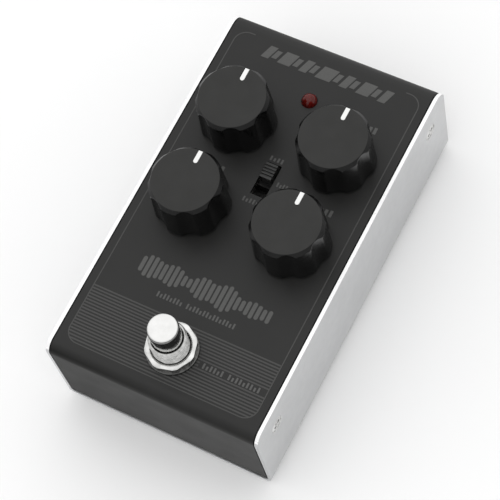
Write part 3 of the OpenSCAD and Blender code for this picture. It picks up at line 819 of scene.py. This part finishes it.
def print_meshes():
    lines = [ribbon(border_path(), LINE)] + stripe_bars()
    marks = slanted_row(x0=-21.5, x1=23.3, y=53.6, height=4.6, widths=[3, 2, 5, 2, 3, 2, 6, 2, 3, 2, 5, 2, 3],
                        gap=0.75, slant=1.6)
    marks += title_bars()
    marks += strokes(x0=-13.1, x1=13.9, y=-33.6, height=SMALL_PRINT, groups=[8, 15])
    marks += strokes(x0=10.4, x1=30.0, y=-48.4, height=SMALL_PRINT, groups=[6, 9])
    # Where each knob's own mark starts and ends beside its middle, and how many bars it has
    spans = {"rear_left": (-4.2, 3.4, 5), "rear_right": (-7.1, 7.3, 9),
             "front_left": (-4.4, 4.4, 5), "front_right": (-7.1, 7.3, 9)}
    for name, (start, end, count) in spans.items():
        place = POTS[name]
        marks += ramp(place.x + start, place.x + end, place.y + KNOB_PRINT_Y, KNOB_PRINT, count)
    slot_y = middle("slide_shell").y
    marks += strokes(x0=-2.5, x1=2.5, y=slot_y + 7.4, height=SLOT_PRINT, groups=[4])
    marks += strokes(x0=3.6, x1=7.6, y=slot_y, height=SLOT_PRINT, groups=[4])
    marks += strokes(x0=-4.0, x1=4.0, y=slot_y - 8.2, height=SLOT_PRINT, groups=[7])
    return joined(*lines), joined(*marks)


lines_mesh, marks_mesh = print_meshes()
piece("panel_lines", lines_mesh, ROOT, PANEL_INK)
piece("panel_marks", marks_mesh, ROOT, LABEL_INK)


# ---------------------------------------------------------------- knobs and pointers

KNOB_TOP_H = 15.4
KNOB_GAP = 0.7
KNOB_BASE_R = 12.15
KNOB_CROWN_R = 11.5
KNOB_CROWN_H = 14.2
KNOB_DISC_R = 10.6
KNOB_SKIRT_H = 1.0
KNOB_STEPS = 280
FLUTES = 7
FLUTE_R = 7.0
FLUTE_BASE_R = 11.15
FLUTE_TOP_R = 10.68
HOLLOW_R = 7.0
HOLLOW_H = 6.6
POINTER_W = 1.4
POINTER_L = 4.3
POINTER_SINK = 0.7


def soft_min(a, b, k):
    """The smaller of two lengths, with the corner between them rounded over about k."""
    h = max(k - abs(a - b), 0.0) / k
    return min(a, b) - h * h * k / 4


def flute_radius(angle, h):
    """Distance from the axis to the nearest flute's wall, or a long way where no flute is met."""
    pitch = 2 * math.pi / FLUTES
    delta = (angle - math.pi / 2) % pitch - pitch / 2
    share = (h - KNOB_GAP) / (KNOB_TOP_H - KNOB_GAP)
    centre = FLUTE_BASE_R + (FLUTE_TOP_R - FLUTE_BASE_R) * share + FLUTE_R
    side = centre * math.sin(delta)
    return centre * math.cos(delta) - math.sqrt(FLUTE_R ** 2 - side ** 2) if abs(side) < FLUTE_R else math.inf


def line(start, end, steps):
    """The points of a straight line after its start."""
    return [(start[0] + (end[0] - start[0]) * i / steps, start[1] + (end[1] - start[1]) * i / steps)
            for i in range(1, steps + 1)]


def knob_profile(angle):
    """From the middle of the top, over the rim, down the side and back up the hollow."""
    turned = angle - math.pi / FLUTES
    top = KNOB_TOP_H
    rim, crown, skirt = (KNOB_DISC_R, top - 0.1), (KNOB_CROWN_R, KNOB_CROWN_H), (KNOB_BASE_R, KNOB_SKIRT_H)
    outer = [(KNOB_DISC_R - 0.16, top), (KNOB_DISC_R - 0.06, top - 0.03), rim]
    outer += line(rim, crown, 9) + line(crown, skirt, 14)
    outer += [(KNOB_BASE_R - 0.05, 0.82), (KNOB_BASE_R - 0.2, KNOB_GAP)]
    points = [(0, top), (5, top), (KNOB_DISC_R - 1, top)]
    points += [(soft_min(r, flute_radius(turned, h), 0.14), h) for r, h in outer]
    points += [(HOLLOW_R + 0.2, KNOB_GAP), (HOLLOW_R, KNOB_GAP + 0.2), (HOLLOW_R, HOLLOW_H)]
    return points + [(3.2, HOLLOW_H), (0, HOLLOW_H)]


def pointer_outline(grow, reach):
    """The pointer seen from above, wider by grow all round and longer by reach towards the rim."""
    half = POINTER_W / 2 + grow
    end = KNOB_DISC_R - 0.15
    start = end - POINTER_L + POINTER_W / 2
    return [(half, start), (half, end + reach), (-half, end + reach)] + arc(0, start, half, 180, 360, 14)[:-1]


def build_knob():
    body = revolve(knob_profile, KNOB_STEPS)
    groove = prism(pointer_outline(0.1, 2), "Z", KNOB_TOP_H - POINTER_SINK, KNOB_TOP_H + 1)
    body = shade(cut(body, groove), 34)
    # The chamfer round the top takes the painted-shade black: a painted dark reflection on the same plastic
    # as the side.
    mark(body, 2, lambda place, normal: normal.z > 0.3 and place.z > KNOB_CROWN_H)
    mark(body, 1, lambda place, normal: normal.z > 0.95 and place.z > KNOB_TOP_H - 0.05)
    return body


def build_pointer():
    flat = prism(pointer_outline(0, 0), "Z", KNOB_TOP_H - POINTER_SINK - 0.08, KNOB_TOP_H + 0.04)
    return bevelled(flat, 0.08, 2, 50)


knob_mesh = build_knob()
pointer_mesh = build_pointer()
for name, place in POTS.items():
    seat = (place.x, place.y, PANEL_Z)
    body = f"knob_{name}_turning"
    piece(f"knob_shell_{name}", moved(knob_mesh, seat), body, [PAINT["knob_black"], KNOB_TOP, PAINTED_SHADE_BLACK],
          ["knob_" + name])
    piece(f"pointer_inlay_{name}", moved(pointer_mesh, seat), body, PAINT["pointer_white"],
          ["pointer_" + name])


# ---------------------------------------------------------------- threads, nuts and washers

SLIP = 0.02
RINGS_PER_TURN = 10
NUT_SHARES = (1.0, 0.92, 0.8, 0.65, 0.5, 0.35, 0.2, 0.0)


def sleeve(r, bore, length, pitch, depth, chamfer, count=96):
    """A threaded sleeve: helical ridges outside, a plain bore inside."""
    def at(angle):
        turns = angle / (2 * math.pi)
        points = [(bore, 0.0), (r - depth, 0.0)]
        steps = int(length / pitch * RINGS_PER_TURN)
        for i in range(1, steps):
            z = i * length / steps
            phase = (z / pitch - turns) % 1.0
            ridge = 1 - abs(2 * phase - 1)
            ridge = min(1.0, max(0.0, ridge * 1.5 - 0.25))
            cone = r - max(0.0, chamfer - (length - z))
            points.append((min(r - depth * (1 - ridge), cone), z))
        return points + [(r - chamfer, length), (bore + 0.12, length), (bore, length - 0.12)]

    return shade(revolve(at, count, loop=True), 50)


def nut(flats, height, bore, sides=6, dome=0.35):
    """A nut with a domed top and a countersunk bore. One corner points along X."""
    pitch = 2 * math.pi / sides
    corner = flats / 2 / math.cos(pitch / 2)
    crest = bore + 0.55

    def at(angle):
        local = angle % pitch - pitch / 2
        r = min(flats / 2 / math.cos(local), corner - 0.02 * flats)
        points = [(bore, 0.3), (bore + 0.3, 0.0), (r - 0.12, 0.0), (r, 0.12)]
        for share in NUT_SHARES:
            out = crest + (r - crest) * share
            points.append((out, height - dome * ((out - crest) / (corner - crest)) ** 2))
        return points + [(bore + 0.3, height - 0.08), (bore + 0.1, height - 0.3), (bore, height - 0.5)]

    return shade(revolve(at, 240, loop=True), 24)


def washer(outer, bore, height):
    """A flat ring with rounded edges."""
    soft = min(0.18, height / 3)
    profile = [(bore, soft), (bore + soft, 0), (outer - soft, 0), (outer, soft), (outer, height - soft),
               (outer - soft, height), (bore + soft, height), (bore, height - soft)]
    return shade(lathe(profile, loop=True), 50)


# ---------------------------------------------------------------- footswitch

BUSHING_R = (high("foot_bushing").x - low("foot_bushing").x) / 2
PLUNGER_R = 4.72
PLUNGER_GAP = 0.23
CAP_R = 4.8
CAP_H = 4.7
CAP_ROUND = 0.9
STEM_R = 1.9
FLANGE_R = high("foot_button").x
FLANGE_T = 1.2
NUT_FLATS = 15.3
NUT_SIDES = 8
NUT_TURN = Matrix.Rotation(math.radians(-8), 3, "Z")
SPRING_WIRE_R = 0.35
SPRING_TURNS = 4


def at_foot(node):
    """The footswitch's axis at the node's underside."""
    return (FOOT.x, FOOT.y, low(node).z)


def tall(node):
    return high(node).z - low(node).z


def build_button():
    top = high("foot_button").z
    bottom = low("foot_button").z
    cap = top - CAP_H
    flange = high("foot_case").z - 0.1
    profile = [(0, bottom), (STEM_R, bottom), (STEM_R, flange - FLANGE_T), (FLANGE_R, flange - FLANGE_T),
               (FLANGE_R, flange), (PLUNGER_R, flange), (PLUNGER_R, cap), (CAP_R, cap + 0.1)]
    profile += arc(CAP_R - CAP_ROUND, top - CAP_ROUND, CAP_ROUND, 0, 84, 10)
    profile += [(CAP_R - CAP_ROUND - 0.3, top - 0.008), (2.2, top), (0, top)]
    button = shade(lathe(profile, 160), 50)
    # The cap's side and the outer part of its rim take the darkened steel: a painted reflection of the dark
    # panel on the same bright steel.
    mark(button, 1, lambda place, normal: abs(normal.z) < 0.8 and place.z > cap)
    return button


def build_spring():
    """Coil of round wire that stands at height 0."""
    wire = SPRING_WIRE_R
    radius = high("foot_spring").x - wire
    rise = tall("foot_spring") - 2 * wire
    steps, sides = 40, 12
    count = SPRING_TURNS * steps
    points = []
    for i in range(count + 1):
        turn = 2 * math.pi * i / steps
        for j in range(sides):
            around = 2 * math.pi * j / sides
            r = radius + wire * math.cos(around)
            z = wire * (1 + math.sin(around)) + rise * i / count
            points.append((r * math.cos(turn), r * math.sin(turn), z))
    faces = []
    for i in range(0, count * sides, sides):
        for j in range(sides):
            k = (j + 1) % sides
            faces.append((i + j, i + k, i + sides + k, i + sides + j))
    faces += [tuple(range(sides - 1, -1, -1)), tuple(count * sides + j for j in range(sides))]
    return shade(make_mesh("spring", points, faces), 50)


spring_foot = Vector(at_foot("foot_spring"))
spring = piece("return_spring", moved(build_spring(), spring_foot), ROOT, PAINT["plain_steel"],
               ["foot_spring"])
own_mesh(spring)

piece("button_cap", moved(build_button(), (FOOT.x, FOOT.y, 0)), "foot_plunger",
      [PAINT["bright_steel"], STEEL_PAINTED_REFLECTION], ["foot_button"])
bushing = sleeve(BUSHING_R, PLUNGER_R + PLUNGER_GAP, tall("foot_bushing"), 1.0, 0.42, 0.5, 128)
piece("threaded_bushing", moved(bushing, at_foot("foot_bushing")), ROOT, THREAD_STEEL,
      ["foot_bushing"])
ring = nut(NUT_FLATS, tall("foot_nut"), BUSHING_R + SLIP, NUT_SIDES, 0.55)
# The faces in the nut's bore take the dark washer steel: painted shade in the gap between the nut and the
# threads.
mark(ring, 1, lambda place, normal: math.hypot(place.x, place.y) < BUSHING_R + 0.3)
piece("panel_nut", moved(ring, at_foot("foot_nut"), NUT_TURN), ROOT, [WORN_STEEL, DARK_WASHER_AND_BORE_SHADE],
      ["foot_nut"])
disc = washer(high("foot_washer").x, BUSHING_R + SLIP, tall("foot_washer"))
piece("flat_washer", moved(disc, at_foot("foot_washer")), ROOT, DARK_WASHER_AND_BORE_SHADE, ["foot_washer"])


# ---------------------------------------------------------------- lamp

LENS_R = 2.5
LENS_RIM_R = 2.95


def build_lens():
    base = low("lamp_lens").z
    top = high("lamp_lens").z
    profile = [(0, base), (LENS_RIM_R - 0.1, base), (LENS_RIM_R, base + 0.1), (LENS_RIM_R, base + 0.9),
               (LENS_RIM_R - 0.1, base + 1.0), (LENS_R, base + 1.0)]
    profile += arc(0, top - LENS_R, LENS_R, 0, 88, 20) + [(0, top)]
    return shade(lathe(profile, 96), 40)


def build_lamp_core():
    """Cup and post inside the lens."""
    base = low("lamp_lens").z + 1.2
    profile = [(0, base), (1.1, base), (1.15, base + 2.6), (0.85, base + 3.2), (0.5, base + 2.9),
               (0, base + 2.9)]
    return shade(lathe(profile, 32), 40)


lamp_place = (LAMP.x, LAMP.y, 0)
piece("lamp_dome", moved(build_lens(), lamp_place), ROOT, PAINT["lens_red"], ["lamp_lens"])
piece("lamp_core", moved(build_lamp_core(), lamp_place), ROOT, PAINT["tin_plate"])


# ---------------------------------------------------------------- slide switch

SLIDE_HALF_W = 2.0
SLIDE_HALF_L = 2.65
SLIDE_RIBS = 5


def build_slide_cap():
    """Ribbed cap above the panel, on a wide foot that fills the slot from below."""
    box_low, box_high = low("slide_cap"), high("slide_cap")
    top = box_high.z
    rear = (box_low.y + box_high.y) / 2 + SLIDE_HALF_L
    front = rear - 2 * SLIDE_HALF_L
    side = [(front, UNDER_Z - 1.4), (rear, UNDER_Z - 1.4), (rear, top)]
    for i in range(1, SLIDE_RIBS):
        y = rear - i * 2 * SLIDE_HALF_L / SLIDE_RIBS
        side += [(y + 0.26, top), (y + 0.14, top - 0.5), (y - 0.14, top - 0.5), (y - 0.26, top)]
    side += [(front, top)]
    cap = prism(side, "X", -SLIDE_HALF_W, SLIDE_HALF_W)
    foot = block(box_low.x, box_high.x, box_low.y, box_high.y, box_low.z, UNDER_Z - 1)
    cap = bevelled(cut(cap, foot, "UNION"), 0.09, 2, 30)
    # The foot below the panel takes the painted-shade black: painted shade inside the slot.
    mark(cap, 1, lambda place, normal: place.z < UNDER_Z - 0.5)
    return cap


piece("slide_button", build_slide_cap(), "slide_switch", [PAINT["black_plastic"], PAINTED_SHADE_BLACK],
      ["slide_cap"])


# ---------------------------------------------------------------- screws and feet

HEAD_R = 2.6
HEAD_SINK = 0.22
RECESS_HALF_W = 0.36
RECESS_TURN = 20


def build_screw():
    """Countersunk cross-head screw with a slightly raised head, whose rim lies at height 0."""
    profile = [(0, -7.6), (1.2, -7.6), (1.5, -7.2), (1.5, -1.1), (HEAD_R, -0.12), (HEAD_R + 0.08, -0.02)]
    profile += [(HEAD_R * share, 0.04 + 0.16 * (1 - share ** 2)) for share in (1.0, 0.8, 0.6, 0.4, 0.2, 0.0)]
    body = lathe(profile, 72)
    trough = [(-1.65, 0.4), (-1.25, -0.75), (1.25, -0.75), (1.65, 0.4)]
    wing = prism(trough, "X", -RECESS_HALF_W, RECESS_HALF_W)
    for turn in (RECESS_TURN, RECESS_TURN + 90):
        body = cut(body, moved(wing, turn=Matrix.Rotation(math.radians(turn), 3, "Z")))
    core = lathe([(0, -1.3), (0.25, -1.1), (0.75, 0.4), (0, 0.4)], 24)
    return shade(cut(body, core), 35)


screw = build_screw()
screws = []
for side, end in CORNERS:
    turn = Matrix.Rotation(math.radians(90 * side), 3, "Y")
    screws.append(moved(screw, (side * (TRAY_HIGH.x - HEAD_SINK), end * SCREW_Y, SCREW_Z), turn))
piece("cross_screws", joined(*screws), ROOT, WORN_STEEL, ["side_screws"])


PAD_R = 5.5


def build_pad():
    """Rubber foot that stands at height 0."""
    height = high("rubber_feet").z
    profile = [(0, 0), (PAD_R - 1.1, 0), (PAD_R - 0.6, 0.15), (PAD_R - 0.3, 0.5), (PAD_R - 0.1, height - 0.1),
               (PAD_R, height), (0, height)]
    return shade(lathe(profile, 72), 40)


pad = build_pad()
pad_x, pad_y = high("rubber_feet").x - PAD_R, high("rubber_feet").y - PAD_R
feet = [moved(pad, (side * pad_x, end * pad_y, 0)) for side, end in CORNERS]
piece("stick_on_feet", joined(*feet), ROOT, PAINT["rubber_black"], ["rubber_feet"])


# ---------------------------------------------------------------- sockets

JACK_R = 4.6
JACK_BORE = 3.25
JACK_NUT_FLATS = 12
JACK_WASHER_R = 7.0
JACK_AXES = [(middle(name + "_bushing").x, middle(name + "_bushing").z) for name in ("input", "output")]


def deep(node):
    return high(node).y - low(node).y


def on_jacks(mesh, node):
    """A copy of the mesh on each socket's axis, with its foot at the node's front face."""
    return [moved(mesh, (x, low(node).y, z), TO_REAR) for x, z in JACK_AXES]


tube = sleeve(JACK_R, JACK_BORE, deep("input_bushing"), 0.8, 0.25, 0.4)
for name, mesh in zip(("input", "output"), on_jacks(tube, "input_bushing")):
    piece(name + "_sleeve", mesh, ROOT, PAINT["bright_steel"], [name + "_bushing"])
hexagon = nut(JACK_NUT_FLATS, deep("jack_nuts"), JACK_R + SLIP)
piece("socket_nuts", joined(*on_jacks(hexagon, "jack_nuts")), ROOT, PAINT["bright_steel"],
      ["jack_nuts"])
flat = washer(JACK_WASHER_R, JACK_R + SLIP, deep("jack_washers"))
piece("socket_washers", joined(*on_jacks(flat, "jack_washers")), ROOT, PAINT["bright_steel"],
      ["jack_washers"])


# ---------------------------------------------------------------- floor, light and camera

def floor_material():
    r = Recipe("floor", 0.6)
    r.tint(r.noise(300, 2), (0.94, 0.94, 0.94), (0.96, 0.96, 0.96))
    return r.material


FLOOR_HALF = 3000
corners = [(x * FLOOR_HALF, y * FLOOR_HALF, 0) for x, y in ((-1, -1), (1, -1), (1, 1), (-1, 1))]
floor = bpy.data.objects.new("floor", make_mesh("floor", corners, [(0, 1, 2, 3)]))
floor.data.materials.append(floor_material())
bpy.context.scene.collection.objects.link(floor)


SOFTBOX_SIDE = 2.4
SOFTBOX_POWER = 5
SOFTBOX_PLACE = Vector((-0.25, 0.25, 0.93)).normalized() * 1.5
TENT_STRENGTH = 0.97

light = bpy.data.lights.new("overhead", "AREA")
light.shape = "SQUARE"
light.size = SOFTBOX_SIDE
light.energy = SOFTBOX_POWER
softbox = bpy.data.objects.new("overhead", light)
softbox.location = SOFTBOX_PLACE
softbox.rotation_euler = (-SOFTBOX_PLACE).to_track_quat("-Z", "Y").to_euler()
bpy.context.scene.collection.objects.link(softbox)

# A white tent all round gives the soft shadows and the even reflections
world = bpy.data.worlds.new("studio")
world.use_nodes = True
tent = world.node_tree.nodes["Background"]
tent.inputs["Color"].default_value = (1, 1, 1, 1)
tent.inputs["Strength"].default_value = TENT_STRENGTH
bpy.context.scene.world = world
bpy.context.scene.view_settings.view_transform = "Standard"

CAMERA_PLACE = (0.18674, -0.19383, 0.58249)
CAMERA_AZIMUTH = 44.39
CAMERA_ELEVATION = 64.63
CAMERA_ROLL = -18.64
LENS = 143.91

azimuth, elevation, roll = (math.radians(v) for v in (CAMERA_AZIMUTH, CAMERA_ELEVATION, CAMERA_ROLL))
forward = Vector((-math.sin(azimuth) * math.cos(elevation), math.cos(azimuth) * math.cos(elevation),
                  -math.sin(elevation)))
right = Vector((math.cos(azimuth), math.sin(azimuth), 0))
up = right.cross(forward)
camera_x = right * math.cos(roll) + up * math.sin(roll)
camera_y = up * math.cos(roll) - right * math.sin(roll)
camera_data = bpy.data.cameras.new("camera")
camera_data.lens = LENS
camera = bpy.data.objects.new("camera", camera_data)
facing = Matrix((camera_x, camera_y, -forward)).transposed().to_4x4()
camera.matrix_world = Matrix.Translation(Vector(CAMERA_PLACE) + BOX_MIDDLE) @ facing
bpy.context.scene.collection.objects.link(camera)
bpy.context.scene.camera = camera
